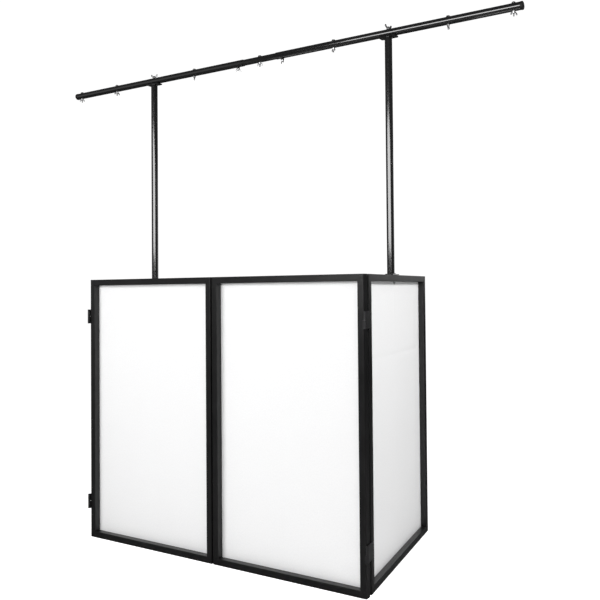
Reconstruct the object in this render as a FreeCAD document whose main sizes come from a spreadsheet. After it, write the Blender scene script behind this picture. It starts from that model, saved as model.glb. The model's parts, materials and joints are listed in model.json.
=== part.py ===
"""Folding four-panel stage facade with a lighting bar carried on two posts.

Row frame, in millimetres: +X to the right of someone who faces the booth, +Y towards the performer, +Z up,
with the origin on the floor in the middle of the footprint.
"""

import FreeCAD
import Part
import Sketcher
import math
import os
import re

# Driving dimensions, in millimetres, and toe_in in degrees.
SIZES = {
    # Square-tube panels: two in front, one on each side.
    "panel_width": 762.0,
    "panel_height": 1220.0,
    "tube_size": 28.0,
    "tube_wall": 1.5,
    "tube_corner": 2.0,
    "centre_gap": 8.0,
    "toe_in": 10.3,
    # Stretch scrim on the back of each panel.
    "scrim_inset": 5.0,
    "scrim_thickness": 1.0,
    "scrim_corner": 10.0,
    "seat_gap": 0.1,
    # Lift-off hinges, two on each fold line.
    "hinge_low": 168.0,
    "hinge_drop": 175.0,
    "knuckle_radius": 5.5,
    "knuckle_length": 33.0,
    "knuckle_gap": 0.4,
    "hinge_pin_radius": 3.0,
    "pin_clearance": 0.05,
    "pin_floor": 3.0,
    "pin_nose": 1.2,
    "leaf_thickness": 2.5,
    "hinge_play": 1.1,
    "corner_play": 11.0,
    "corner_axis_front": 3.0,
    "wing_leaf_hold": 20.0,
    "leaf_corner": 4.0,
    "centre_axis_back": 4.5,
    "centre_leaf_reach": 17.0,
    # Posts with a foot on the side panel's top rail and a saddle under the bar.
    "post_set": 298.0,
    "post_length": 983.0,
    "post_radius": 16.0,
    "post_wall": 1.5,
    "foot_gap": 0.3,
    "foot_thickness": 4.0,
    "foot_width": 34.0,
    "foot_front": 30.0,
    "foot_rear": 64.0,
    "foot_corner": 6.0,
    "foot_bolt_set": 42.0,
    "foot_bolt_radius": 3.0,
    "foot_bolt_tail": 12.0,
    "foot_head_radius": 7.0,
    "foot_head_height": 4.0,
    "foot_nut_flats": 10.0,
    "foot_nut_height": 5.0,
    "saddle_length": 82.0,
    "saddle_width": 36.0,
    "saddle_thickness": 4.0,
    "saddle_corner": 7.0,
    "saddle_stub": 22.0,
    "plug_depth": 60.0,
    "plug_clearance": 0.2,
    "post_screw_radius": 4.0,
    "post_screw_grip": 14.0,
    # Lighting bar: two tubes joined by a thinner coupler that shows between them.
    "bar_radius": 16.0,
    "bar_wall": 1.5,
    "coupler_show": 200.0,
    "coupler_grip": 110.0,
    "coupler_clearance": 0.3,
    "coupler_wall": 1.6,
    "joint_screw_set": 33.0,
    "joint_screw_radius": 3.0,
    "joint_screw_grip": 6.0,
    "boss_radius": 7.5,
    "boss_height": 7.0,
    "cap_radius": 16.8,
    "cap_head": 9.0,
    "cap_round": 3.0,
    "cap_plug": 15.0,
    # Lamp bolts along the bar.
    "lamp_pitch": 280.0,
    "bar_end_set": 30.0,
    "lamp_bolt_radius": 3.0,
    "lamp_bolt_tail": 20.0,
    "lamp_head_radius": 8.0,
    "lamp_head_height": 5.0,
    "bolt_clearance": 0.3,
    "head_round": 3.0,
    # Wing grips: the smaller on lamp bolts and joint screws, the larger on posts.
    "nut_base": 6.5,
    "nut_top": 5.0,
    "nut_hub": 8.0,
    "nut_span": 30.0,
    "nut_rise": 16.0,
    "nut_blade": 2.6,
    "grip_base": 8.0,
    "grip_top": 6.5,
    "grip_hub": 10.0,
    "grip_span": 38.0,
    "grip_rise": 20.0,
    "grip_blade": 3.2,
}

# How far each wing grip and foot nut happens to be turned, in degrees.
LAMP_NUT_TURNS = (20.0, 75.0, 130.0, 10.0, 155.0, 95.0, 40.0)
JOINT_SCREW_TURNS = (25.0, 150.0)
POST_SCREW_TURNS = (15.0, 70.0)
FOOT_NUT_TURNS = (8.0, 21.0)

# Places worked out from the driving dimensions.
HINGE_OUT = (
    "max(knuckle_radius + hinge_play; hinge_play + leaf_thickness / 2"
    " + (tube_size + corner_axis_front) * tan(toe_in * 1 deg))"
)
WING_REACH = (
    "(tube_size + corner_axis_front + corner_play"
    " + (leaf_thickness / 2 + tube_size) * sin(toe_in * 1 deg)) / cos(toe_in * 1 deg)"
)
HALF_FRONT = "(centre_gap / 2 + panel_width)"
FOOT_TOP = "(panel_height + foot_gap + foot_thickness)"
POST_TOP = f"({FOOT_TOP} + post_length)"
SADDLE_TOP = f"({POST_TOP} + saddle_stub + saddle_thickness)"
BAR_HEIGHT = f"({SADDLE_TOP} + seat_gap + bar_radius)"
COUPLER_RADIUS = "(bar_radius - bar_wall - coupler_clearance)"
POST_OUT = (
    f"({HALF_FRONT} + {HINGE_OUT} - (leaf_thickness + tube_size) / 2 * cos(toe_in * 1 deg)"
    f" - ({WING_REACH} + post_set) * sin(toe_in * 1 deg))"
)
BAR_HALF = f"({POST_OUT} + 2 * lamp_pitch + bar_end_set)"

doc = FreeCAD.newDocument("DjBooth")
dims = doc.addObject("Spreadsheet::Sheet", "Dims")
for row, (alias, size) in enumerate(SIZES.items(), start=1):
    dims.set(f"A{row}", alias.replace("_", " "))
    dims.set(f"B{row}", str(size))
    dims.setAlias(f"B{row}", alias)
doc.recompute()

nodes = {}


def in_sheet(text):
    """Writes an expression in size names as one that reads the sheet's cells."""
    return re.sub(r"[a-z][a-z_]+", lambda name: cell_name(name.group()), text)


def cell_name(word):
    """The sheet's cell for a size name, and any other word as it is."""
    return f"Dims.{word}" if word in SIZES else word


def mm(text):
    """The present value of an expression in size names."""
    return float(dims.evalExpression(in_sheet(text)))


def bind(thing, prop, text):
    """Ties one property of an object to an expression in size names."""
    thing.setExpression(prop, in_sheet(text))


def at(x, y, z, turn=0.0):
    """A placement at a point, turned about Z by some degrees."""
    return FreeCAD.Placement(FreeCAD.Vector(x, y, z), FreeCAD.Rotation(FreeCAD.Vector(0, 0, 1), turn))


def node(thing, label, placement=None):
    """Makes an object a sub-part: its label names its file."""
    thing.Label = label
    if placement is not None:
        thing.Placement = placement
    nodes[label] = thing
    return thing


# Sketches and features.
def sketch_on(body, role, name):
    """A sketch on one of a body's own origin planes."""
    plane = next(f for f in body.Origin.OriginFeatures if f.Role == role)
    sketch = body.newObject("Sketcher::SketchObject", name)
    sketch.AttachmentSupport = (plane, [""])
    sketch.MapMode = "FlatFace"
    return sketch


def place_point(sketch, geometry, position, point):
    """Ties a sketch point to a pair of expressions measured from the origin."""
    for kind, axis, text in (("DistanceX", -2, point[0]), ("DistanceY", -1, point[1])):
        if text == "0":
            sketch.addConstraint(Sketcher.Constraint("PointOnObject", geometry, position, axis))
        else:
            rule = sketch.addConstraint(Sketcher.Constraint(kind, -1, 1, geometry, position, mm(text)))
            bind(sketch, f"Constraints[{rule}]", text)


def draw_outline(sketch, points):
    """Draws a closed outline of straight lines through points given as expressions."""
    first = sketch.GeometryCount
    count = len(points)
    spots = [FreeCAD.Vector(mm(x), mm(y), 0) for x, y in points]
    for i in range(count):
        sketch.addGeometry(Part.LineSegment(spots[i], spots[(i + 1) % count]), False)
    for i in range(count):
        sketch.addConstraint(Sketcher.Constraint("Coincident", first + i, 2, first + (i + 1) % count, 1))
    for i, point in enumerate(points):
        place_point(sketch, first + i, 1, point)


def draw_circle(sketch, centre, radius):
    """Draws a circle whose centre and radius are expressions."""
    middle = FreeCAD.Vector(mm(centre[0]), mm(centre[1]), 0)
    ring = sketch.addGeometry(Part.Circle(middle, FreeCAD.Vector(0, 0, 1), mm(radius)), False)
    place_point(sketch, ring, 3, centre)
    rule = sketch.addConstraint(Sketcher.Constraint("Radius", ring, mm(radius)))
    bind(sketch, f"Constraints[{rule}]", radius)


def pad(body, sketch, length):
    """Pads a sketch by an expression."""
    feature = body.newObject("PartDesign::Pad", "Pad")
    feature.Profile = sketch
    bind(feature, "Length", length)
    return feature


def cut_through(body, sketch):
    """Cuts a sketch right through, both ways from its plane, and checks that it took metal."""
    doc.recompute()
    before = body.Shape.Volume
    feature = body.newObject("PartDesign::Pocket", "Pocket")
    feature.Profile = sketch
    feature.Type = "ThroughAll"
    feature.SideType = "Symmetric"
    doc.recompute()
    if body.Shape.Volume >= before:
        raise RuntimeError(f"{body.Label}: a cut took nothing away")
    return feature


# Primitives and booleans.
def box(x, y, z, name="Block"):
    """A block between pairs of expressions on each axis."""
    solid = doc.addObject("Part::Box", name)
    for prop, axis, (low, high) in (("Length", "x", x), ("Width", "y", y), ("Height", "z", z)):
        bind(solid, prop, f"({high}) - ({low})")
        bind(solid, f"Placement.Base.{axis}", low)
    return solid


def cylinder(radius, z, x="0", y="0", name="Round"):
    """An upright cylinder between a pair of heights."""
    solid = doc.addObject("Part::Cylinder", name)
    bind(solid, "Radius", radius)
    bind(solid, "Height", f"({z[1]}) - ({z[0]})")
    for axis, text in (("x", x), ("y", y), ("z", z[0])):
        bind(solid, f"Placement.Base.{axis}", text)
    return solid


def fuse(*solids):
    """One solid from several."""
    joined = doc.addObject("Part::MultiFuse", "Joined")
    joined.Shapes = list(solids)
    joined.Refine = True
    return joined


def cut(base, tool):
    """A solid with another taken out of it."""
    rest = doc.addObject("Part::Cut", "Cut")
    rest.Base = base
    rest.Tool = tool
    rest.Refine = True
    return rest


def group(*solids):
    """Several separate solids kept as one sub-part."""
    together = doc.addObject("Part::Compound", "Group")
    together.Links = list(solids)
    return together


def round_edges(base, radius, chosen):
    """Rounds the edges of a solid that a test picks out."""
    doc.recompute()
    soft = doc.addObject("Part::Fillet", "Rounded")
    soft.Base = base
    size = mm(radius)
    soft.Edges = [(i, size, size) for i, edge in enumerate(base.Shape.Edges, start=1) if chosen(edge)]
    return soft


def runs_along(axis):
    """A test for the straight edges that run along an axis."""
    def test(edge):
        if len(edge.Vertexes) != 2:
            return False
        way = edge.Vertexes[1].Point - edge.Vertexes[0].Point
        return math.isclose(abs(way.dot(axis)), edge.Length)
    return test


def rim_at(height):
    """A test for the round edges at a height."""
    def test(edge):
        return isinstance(edge.Curve, Part.Circle) and math.isclose(edge.BoundBox.ZMax, height)
    return test


X_AXIS = FreeCAD.Vector(1, 0, 0)
Y_AXIS = FreeCAD.Vector(0, 1, 0)
Z_AXIS = FreeCAD.Vector(0, 0, 1)


# Panels.
def mitred_tube(label, length, hole=None):
    """A square tube along local Z, mitred so that its face at local X 0 is the long one.

    A hole, where given, is a place along the tube for a bolt that crosses it along local X.
    """
    body = doc.addObject("PartDesign::Body", "Tube")
    profile = sketch_on(body, "XY_Plane", "Profile")
    near, far = "tube_wall", "tube_size - tube_wall"
    draw_outline(profile, (("0", "0"), ("tube_size", "0"), ("tube_size", "tube_size"), ("0", "tube_size")))
    draw_outline(profile, ((near, near), (far, near), (far, far), (near, far)))
    straight = pad(body, profile, length)
    doc.recompute()
    middle, reach = mm("tube_size / 2"), mm("(tube_size - tube_wall) / 2")
    corners = body.newObject("PartDesign::Fillet", "Corners")
    corners.Base = (straight, [
        f"Edge{i}" for i, edge in enumerate(straight.Shape.Edges, start=1)
        if runs_along(Z_AXIS)(edge)
        and min(abs(edge.CenterOfMass.x - middle), abs(edge.CenterOfMass.y - middle)) > reach
    ])
    bind(corners, "Radius", "tube_corner")
    mitres = sketch_on(body, "XZ_Plane", "Mitres")
    draw_outline(mitres, (("0", "0"), ("tube_size", "0"), ("tube_size", "tube_size")))
    draw_outline(mitres, (("0", length), ("tube_size", f"{length} - tube_size"), ("tube_size", length)))
    cut_through(body, mitres)
    if hole:
        bolt_hole = sketch_on(body, "YZ_Plane", "BoltHole")
        draw_circle(bolt_hole, ("tube_size / 2", hole), "foot_bolt_radius + bolt_clearance")
        cut_through(body, bolt_hole)
    return node(body, label)


def panel(name, placement, ends, hole=None):
    """Four mitred tubes round an opening, with a scrim stretched over the back.

    Local X runs along the panel's width, local Y from its outer face to its back.
    """
    size, width, height = mm("tube_size"), mm("panel_width"), mm("panel_height")
    half_turn = FreeCAD.Rotation(FreeCAD.Vector(1, 0, 1), 180)
    quarter_turn = FreeCAD.Rotation(FreeCAD.Vector(0, 1, 0), 90)
    floor_seat = FreeCAD.Placement(FreeCAD.Vector(0, size, 0), half_turn)
    top_seat = FreeCAD.Placement(FreeCAD.Vector(0, 0, height), quarter_turn)
    seats = (
        (f"{name}_{ends[0]}_stile", "panel_height", None, at(0, 0, 0)),
        (f"{name}_{ends[1]}_stile", "panel_height", None, at(width, size, 0, 180)),
        (f"{name}_bottom_rail", "panel_width", None, floor_seat),
        (f"{name}_top_rail", "panel_width", hole, top_seat),
    )
    for label, length, cross, seat in seats:
        mitred_tube(label, length, cross).Placement = placement * seat
    back = "tube_size + seat_gap"
    cloth = box(
        ("scrim_inset", "panel_width - scrim_inset"),
        (back, f"{back} + scrim_thickness"),
        ("scrim_inset", "panel_height - scrim_inset"),
    )
    sheet = round_edges(cloth, "scrim_corner", runs_along(Y_AXIS))
    node(sheet, f"{name}_scrim", placement)


# Hinges, each drawn about its own pin with the split between the knuckles at Z 0.
LOWER = ("-knuckle_length - knuckle_gap / 2", "-knuckle_gap / 2")
UPPER = ("knuckle_gap / 2", "knuckle_length + knuckle_gap / 2")
FULL = (LOWER[0], UPPER[1])
BORE = "hinge_pin_radius + pin_clearance"


def span(side, low, high):
    """A pair of expressions across X, mirrored for the left side."""
    return (low, high) if side > 0 else (f"-({high})", f"-({low})")


def fixed_knuckle(*plates):
    """The lower half of a hinge: a knuckle with a blind bore for the pin, on its plates."""
    bore = cylinder(BORE, (f"{LOWER[0]} + pin_floor", LOWER[1]))
    return cut(fuse(cylinder("knuckle_radius", LOWER), *plates), bore)


def lifting_knuckle(*plates):
    """The upper half of a hinge: an open knuckle that drops over the pin, on its plates."""
    return cut(fuse(cylinder("knuckle_radius", UPPER), *plates), cylinder(BORE, UPPER))


def front_leaf(side):
    """The corner hinge's half on the front panel's side face, curled round the pin."""
    plate = box(
        span(side, f"-{HINGE_OUT}", f"leaf_thickness - {HINGE_OUT}"),
        ("-knuckle_radius", "corner_axis_front + tube_size / 2"),
        LOWER,
    )
    curl = box(
        span(side, f"-{HINGE_OUT}", "0"),
        ("-knuckle_radius", "leaf_thickness - knuckle_radius"),
        LOWER,
    )
    return fixed_knuckle(plate, curl)


def wing_leaf(side):
    """The corner hinge's half that bridges to the side panel, notched clear of the front half."""
    thick = span(side, "-leaf_thickness / 2", "leaf_thickness / 2")
    notch = f"{HINGE_OUT} + leaf_thickness * 3 / 2"
    plate = box(thick, (notch, f"{WING_REACH} + wing_leaf_hold"), FULL)
    neck = box(thick, ("0", notch), UPPER)
    far = mm(f"{WING_REACH} + wing_leaf_hold - leaf_corner")

    def at_free_end(edge):
        return runs_along(X_AXIS)(edge) and edge.CenterOfMass.y > far

    return lifting_knuckle(round_edges(plate, "leaf_corner", at_free_end), neck)


def centre_leaf(side, half):
    """A centre hinge's half, on the face of the stile inside the gap."""
    plate = box(
        span(side, "centre_gap / 2 - leaf_thickness", "centre_gap / 2"),
        ("-centre_axis_back - centre_leaf_reach", "0"),
        half,
    )
    return fixed_knuckle(plate) if half is LOWER else lifting_knuckle(plate)


def hinge_pin():
    """The round-nosed pin that stands in the lower knuckle and ends inside the upper one."""
    top = f"{UPPER[1]} - pin_floor"
    pin = cylinder("hinge_pin_radius", (f"{LOWER[0]} + pin_floor", top))
    return round_edges(pin, "pin_nose", rim_at(mm(top)))


def fold_line(name, make_lower, make_upper, labels, lower_seat, upper_seat):
    """Two hinges on one fold line: the fixed halves, the lifting halves and the pins."""
    heights = (mm("hinge_low"), mm("panel_height - hinge_drop"))
    makers = (
        (labels[0], make_lower, lower_seat),
        (labels[1], make_upper, upper_seat),
        ("pins", hinge_pin, lower_seat),
    )
    for label, make, seat in makers:
        pieces = []
        for height in heights:
            piece = make()
            piece.Placement = seat * at(0, 0, height) * piece.Placement
            pieces.append(piece)
        node(group(*pieces), f"{name}_hinge_{label}")


# Wing grips, drawn with the seat at Z 0 and the wings rising.
# Outline of one wing: shares of half the span and of the rise.
WING_SHARES = (
    (0.20, 0.08), (0.55, 0.16), (0.95, 0.58), (1.00, 0.84),
    (0.84, 1.00), (0.64, 0.94), (0.42, 0.52), (0.20, 0.42),
)


def wing_grip(size, bore=None, shank=None):
    """A tapered hub with two wings, where size is the set of dimensions it takes.

    A nut gets a bore right through, and a screw a shank below its seat, as a radius and a length.
    """
    body = doc.addObject("PartDesign::Body", "WingGrip")
    profile = sketch_on(body, "XZ_Plane", "HubProfile")
    hub_top = f"{size}_hub"
    draw_outline(profile, (("0", "0"), (f"{size}_base", "0"), (f"{size}_top", hub_top), ("0", hub_top)))
    hub = body.newObject("PartDesign::Revolution", "Hub")
    hub.Profile = profile
    hub.ReferenceAxis = (profile, ["V_Axis"])
    wings = sketch_on(body, "XZ_Plane", "WingOutline")
    right = [(f"{size}_span * {out} / 2", f"{size}_rise * {up}") for out, up in WING_SHARES]
    left = [(f"-{size}_span * {out} / 2", f"{size}_rise * {up}") for out, up in reversed(WING_SHARES)]
    draw_outline(wings, right + left)
    blade = pad(body, wings, f"{size}_blade")
    blade.SideType = "Symmetric"
    if shank:
        stem = sketch_on(body, "XY_Plane", "Shank")
        draw_circle(stem, ("0", "0"), shank[0])
        pad(body, stem, shank[1]).Reversed = True
    if bore:
        hole = sketch_on(body, "XY_Plane", "Bore")
        draw_circle(hole, ("0", "0"), bore)
        cut_through(body, hole)
    return body


def hex_nut(flats, height, bore):
    """A six-sided nut that stands on Z 0, with a bore right through."""
    body = doc.addObject("PartDesign::Body", "HexNut")
    outline = sketch_on(body, "XY_Plane", "Outline")
    corner, half = f"{flats} / sqrt(3)", f"{flats} / 2"
    draw_outline(outline, (
        (corner, "0"), (f"{corner} / 2", half), (f"-{corner} / 2", half),
        (f"-{corner}", "0"), (f"-{corner} / 2", f"-{half}"), (f"{corner} / 2", f"-{half}"),
    ))
    draw_circle(outline, ("0", "0"), bore)
    pad(body, outline, height)
    return body


def headed_bolt(head_radius, head_height, radius, length):
    """A bolt with a domed head above Z 0 and a plain shank below."""
    head = round_edges(cylinder(head_radius, ("0", head_height)), "head_round", rim_at(mm(head_height)))
    return fuse(head, cylinder(radius, (f"-({length})", "0")))


def pipe(radius, wall, length, holes=()):
    """A round tube along local Z, with holes that cross it along local X, each a place and a radius."""
    body = doc.addObject("PartDesign::Body", "Pipe")
    profile = sketch_on(body, "XY_Plane", "Profile")
    draw_circle(profile, ("0", "0"), radius)
    draw_circle(profile, ("0", "0"), f"{radius} - {wall}")
    pad(body, profile, length)
    if holes:
        crossing = sketch_on(body, "YZ_Plane", "Holes")
        for place, size in holes:
            draw_circle(crossing, ("0", place), size)
        cut_through(body, crossing)
    return body


# The booth is drawn from its front face and moved so that the footprint's middle is at the origin.
toe = mm("toe_in")
lean = math.radians(toe)
half_front, hinge_out, wing_reach = mm(HALF_FRONT), mm(HINGE_OUT), mm(WING_REACH)
pin_front = mm("corner_axis_front")
front_most = -pin_front - mm("knuckle_radius")
rear_most = (
    -pin_front
    - mm("leaf_thickness / 2") * math.sin(lean)
    + (wing_reach + mm("panel_width")) * math.cos(lean)
)
booth = at(0, -(front_most + rear_most) / 2, 0)

# Hinge pins and the side panels that turn on them.
corner = {side: booth * at(side * (half_front + hinge_out), -pin_front, 0) for side in (1, -1)}
wing_frame = {side: corner[side] * at(0, 0, 0, side * toe) for side in (1, -1)}
wing_seat = {
    1: wing_frame[1] * at(-mm("leaf_thickness / 2"), wing_reach, 0, 90),
    -1: wing_frame[-1] * at(mm("leaf_thickness / 2"), wing_reach + mm("panel_width"), 0, -90),
}
bolt_place = "post_set + foot_bolt_set"
panel("front_left", booth * at(-half_front, 0, 0), ("outer", "inner"))
panel("front_right", booth * at(mm("centre_gap / 2"), 0, 0), ("inner", "outer"))
panel("left_wing", wing_seat[-1], ("rear", "front"), f"panel_width - ({bolt_place})")
panel("right_wing", wing_seat[1], ("front", "rear"), bolt_place)

for side, name in ((1, "right_corner"), (-1, "left_corner")):
    fold_line(
        name,
        lambda: front_leaf(side),
        lambda: wing_leaf(side),
        ("front_leaves", "wing_leaves"),
        corner[side],
        wing_frame[side],
    )
centre_seat = booth * at(0, mm("tube_size + centre_axis_back"), 0)
fold_line(
    "centre",
    lambda: centre_leaf(1, LOWER),
    lambda: centre_leaf(-1, UPPER),
    ("right_leaves", "left_leaves"),
    centre_seat,
    centre_seat,
)

# Posts on the side panels' top rails, each with a foot, a saddle and a wing screw through the bar.
rail_middle = mm("(leaf_thickness + tube_size) / 2")
post_along = wing_reach + mm("post_set")
foot_spot = {side: wing_frame[side] * at(-side * rail_middle, post_along, 0) for side in (1, -1)}
post_spot = {side: at(foot_spot[side].Base.x, foot_spot[side].Base.y, 0) for side in (1, -1)}
post_y = post_spot[1].Base.y


def foot_plate():
    """The plate under a post, with a hole for the foot bolt behind the post."""
    plate = box(
        ("-foot_width / 2", "foot_width / 2"),
        ("-foot_front", "foot_rear"),
        ("panel_height + foot_gap", FOOT_TOP),
    )
    soft = round_edges(plate, "foot_corner", runs_along(Z_AXIS))
    heights = ("panel_height", f"{FOOT_TOP} + foot_gap")
    hole = cylinder("foot_bolt_radius + bolt_clearance", heights, y="foot_bolt_set")
    return cut(soft, hole)


def saddle():
    """The plate under the bar on a stub that plugs into the post, bored for the wing screw."""
    plate = box(
        ("-saddle_length / 2", "saddle_length / 2"),
        ("-saddle_width / 2", "saddle_width / 2"),
        (f"{SADDLE_TOP} - saddle_thickness", SADDLE_TOP),
    )
    soft = round_edges(plate, "saddle_corner", runs_along(Z_AXIS))
    stub = cylinder("post_radius", (POST_TOP, f"{SADDLE_TOP} - saddle_thickness"))
    plug = cylinder("post_radius - post_wall - plug_clearance", (f"{POST_TOP} - plug_depth", POST_TOP))
    bore = cylinder(
        "post_screw_radius + bolt_clearance",
        (f"{SADDLE_TOP} - saddle_thickness - post_screw_grip - foot_gap", f"{SADDLE_TOP} + seat_gap"),
    )
    return cut(fuse(soft, stub, plug), bore)


hanging = FreeCAD.Placement(FreeCAD.Vector(), FreeCAD.Rotation(X_AXIS, 180))
STUD_END = "panel_height - tube_size - foot_bolt_tail"
POST_SHANK = "2 * bar_radius + 2 * seat_gap + saddle_thickness + post_screw_grip"
for index, (side, name) in enumerate(((-1, "left"), (1, "right"))):
    upright_seat = post_spot[side] * at(0, 0, mm(FOOT_TOP))
    node(pipe("post_radius", "post_wall", "post_length"), f"{name}_post", upright_seat)
    node(foot_plate(), f"{name}_foot_plate", foot_spot[side])
    node(saddle(), f"{name}_saddle", post_spot[side])
    screw = wing_grip("grip", shank=("post_screw_radius", POST_SHANK))
    screw_height = mm(f"{BAR_HEIGHT} + bar_radius + seat_gap")
    node(screw, f"{name}_post_screw", post_spot[side] * at(0, 0, screw_height, POST_SCREW_TURNS[index]))
    bolt_seat = foot_spot[side] * at(0, mm("foot_bolt_set"), 0)
    length = f"{FOOT_TOP} - ({STUD_END})" if side > 0 else "foot_thickness"
    bolt = headed_bolt("foot_head_radius", "foot_head_height", "foot_bolt_radius", length)
    node(bolt, f"{name}_foot_bolt", bolt_seat * at(0, 0, mm(FOOT_TOP)))
    nut = hex_nut("foot_nut_flats", "foot_nut_height", "foot_bolt_radius + bolt_clearance")
    nut_seat = bolt_seat * at(0, 0, mm("panel_height - tube_size"), FOOT_NUT_TURNS[index])
    node(nut, f"{name}_foot_nut", nut_seat * hanging)
stud = round_edges(cylinder("foot_bolt_radius", (STUD_END, "panel_height")), "pin_nose", rim_at(mm(STUD_END)))
node(stud, "left_foot_stud", foot_spot[-1] * at(0, mm("foot_bolt_set"), 0))

# Lighting bar, drawn along local Z and laid across the saddles.
bar_spot = at(0, post_y, mm(BAR_HEIGHT))
to_right = FreeCAD.Placement(FreeCAD.Vector(), FreeCAD.Rotation(Y_AXIS, 90))
to_left = FreeCAD.Placement(FreeCAD.Vector(), FreeCAD.Rotation(Y_AXIS, -90))
JOINT_SCREW_OUT = "(coupler_show / 2 + joint_screw_set)"
LAMP_OUTS = (f"{POST_OUT} - lamp_pitch", f"{POST_OUT} + lamp_pitch", f"{POST_OUT} + 2 * lamp_pitch")
LAMP_HOLE = "lamp_bolt_radius + bolt_clearance"
JOINT_HOLE = "joint_screw_radius + bolt_clearance"
bar_holes = [(f"{out} - coupler_show / 2", LAMP_HOLE) for out in LAMP_OUTS]
bar_holes.append((f"{POST_OUT} - coupler_show / 2", "post_screw_radius + bolt_clearance"))
bar_holes.append(("joint_screw_set", JOINT_HOLE))
for name, turned in (("left", to_left), ("right", to_right)):
    tube = pipe("bar_radius", "bar_wall", f"{BAR_HALF} - coupler_show / 2", bar_holes)
    node(tube, f"bar_{name}_tube", bar_spot * turned * at(0, 0, mm("coupler_show / 2")))

coupler_holes = [("coupler_show / 2 + coupler_grip", LAMP_HOLE)]
coupler_holes += [
    (f"coupler_show / 2 + coupler_grip {sign} {JOINT_SCREW_OUT}", JOINT_HOLE) for sign in "+-"
]
coupler = pipe(COUPLER_RADIUS, "coupler_wall", "coupler_show + 2 * coupler_grip", coupler_holes)
node(coupler, "bar_coupler", bar_spot * to_right * at(0, 0, -mm("coupler_show / 2 + coupler_grip")))


def end_cap():
    """A round-edged cap on a plug that fits the bar's bore, drawn with its seat at Z 0."""
    head = round_edges(cylinder("cap_radius", ("0", "cap_head")), "cap_round", rim_at(mm("cap_head")))
    return fuse(head, cylinder(COUPLER_RADIUS, ("-cap_plug", "0")))


def boss():
    """A threaded boss under the bar, hollowed to the bar's round and bored for the joint screw."""
    block = cylinder("boss_radius", ("-bar_radius - boss_height", "-bar_radius + boss_height"))
    bar = doc.addObject("Part::Cylinder", "BarRound")
    bind(bar, "Radius", "bar_radius + seat_gap")
    bind(bar, "Height", "4 * boss_radius")
    bar.Placement = to_right
    bind(bar, "Placement.Base.x", "-2 * boss_radius")
    bore = cylinder(JOINT_HOLE, ("-bar_radius - 2 * boss_height", "0"))
    return cut(cut(block, bar), bore)


caps = []
bosses = []
for side, name, turned in ((-1, "left", to_left), (1, "right", to_right)):
    cap = end_cap()
    cap.Placement = bar_spot * turned * at(0, 0, mm(BAR_HALF))
    caps.append(cap)
    socket = boss()
    socket.Placement = bar_spot * at(side * mm(JOINT_SCREW_OUT), 0, 0)
    bosses.append(socket)
node(group(*caps), "bar_end_caps")
node(group(*bosses), "bar_joint_bosses")

# Wing screws that lock the coupler from below, and lamp bolts whose wing nuts hang under the bar.
JOINT_SHANK = "boss_height + bar_wall + coupler_wall + coupler_clearance + joint_screw_grip"
for turn, (side, name) in zip(JOINT_SCREW_TURNS, ((-1, "left"), (1, "right"))):
    screw = wing_grip("nut", shank=("joint_screw_radius", JOINT_SHANK))
    drop = mm("bar_radius + boss_height + seat_gap")
    node(screw, f"{name}_joint_screw", bar_spot * at(side * mm(JOINT_SCREW_OUT), 0, -drop, turn) * hanging)

lamp_outs = sorted([side * mm(out) for out in LAMP_OUTS for side in (-1, 1)] + [0.0])
lamp_bolts = []
for number, (out, turn) in enumerate(zip(lamp_outs, LAMP_NUT_TURNS), start=1):
    radius = "bar_radius" if out else COUPLER_RADIUS
    length = f"2 * {radius} + seat_gap + lamp_bolt_tail"
    bolt = headed_bolt("lamp_head_radius", "lamp_head_height", "lamp_bolt_radius", length)
    bolt.Placement = bar_spot * at(out, 0, mm(f"{radius} + seat_gap"))
    lamp_bolts.append(bolt)
    nut = wing_grip("nut", bore=LAMP_HOLE)
    node(nut, f"lamp_nut_{number}", bar_spot * at(out, 0, -mm(f"{radius} + seat_gap"), turn) * hanging)
node(group(*lamp_bolts), "lamp_bolts")

# Everything is sound before anything is written.
doc.recompute()
broken = [thing.Label for thing in doc.Objects if {"Invalid", "Error"} & set(thing.State)]
broken += [label for label, thing in nodes.items() if thing.Shape.isNull() or not thing.Shape.isValid()]
if broken:
    raise RuntimeError(f"not sound: {broken}")
os.makedirs("parts", exist_ok=True)
for label, thing in nodes.items():
    thing.Shape.exportStep(f"parts/{label}.step")
print(len(nodes), "sub-parts written")
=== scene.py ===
"""Dresses a folding stage facade: stretch cloth, fasteners, welds, finishes, light and camera.

Everything is in metres in the CAD frame: +X to the right of someone who faces the booth, +Y towards the
performer, +Z up, with the origin on the floor in the middle of the footprint.
"""

from __future__ import annotations

import json
import logging
import math
from dataclasses import dataclass
from enum import Enum

import bmesh
import bpy
from mathutils import Matrix, Vector

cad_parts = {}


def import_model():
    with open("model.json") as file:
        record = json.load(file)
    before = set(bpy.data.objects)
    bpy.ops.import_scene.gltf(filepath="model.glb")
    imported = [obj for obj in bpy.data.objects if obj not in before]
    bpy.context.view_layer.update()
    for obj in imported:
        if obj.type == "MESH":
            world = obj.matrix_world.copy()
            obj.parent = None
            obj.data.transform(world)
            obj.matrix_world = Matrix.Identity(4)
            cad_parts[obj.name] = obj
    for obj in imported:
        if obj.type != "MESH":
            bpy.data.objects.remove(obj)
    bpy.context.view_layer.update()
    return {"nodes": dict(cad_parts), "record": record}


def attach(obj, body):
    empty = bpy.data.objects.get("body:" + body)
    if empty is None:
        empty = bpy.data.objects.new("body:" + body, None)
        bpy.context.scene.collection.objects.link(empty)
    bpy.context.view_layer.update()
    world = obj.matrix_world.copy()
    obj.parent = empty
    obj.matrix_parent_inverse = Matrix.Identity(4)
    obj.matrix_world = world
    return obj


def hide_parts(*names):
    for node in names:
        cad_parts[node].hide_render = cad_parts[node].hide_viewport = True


log = logging.getLogger("dj_booth")

Colour = tuple[float, float, float, float]

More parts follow.
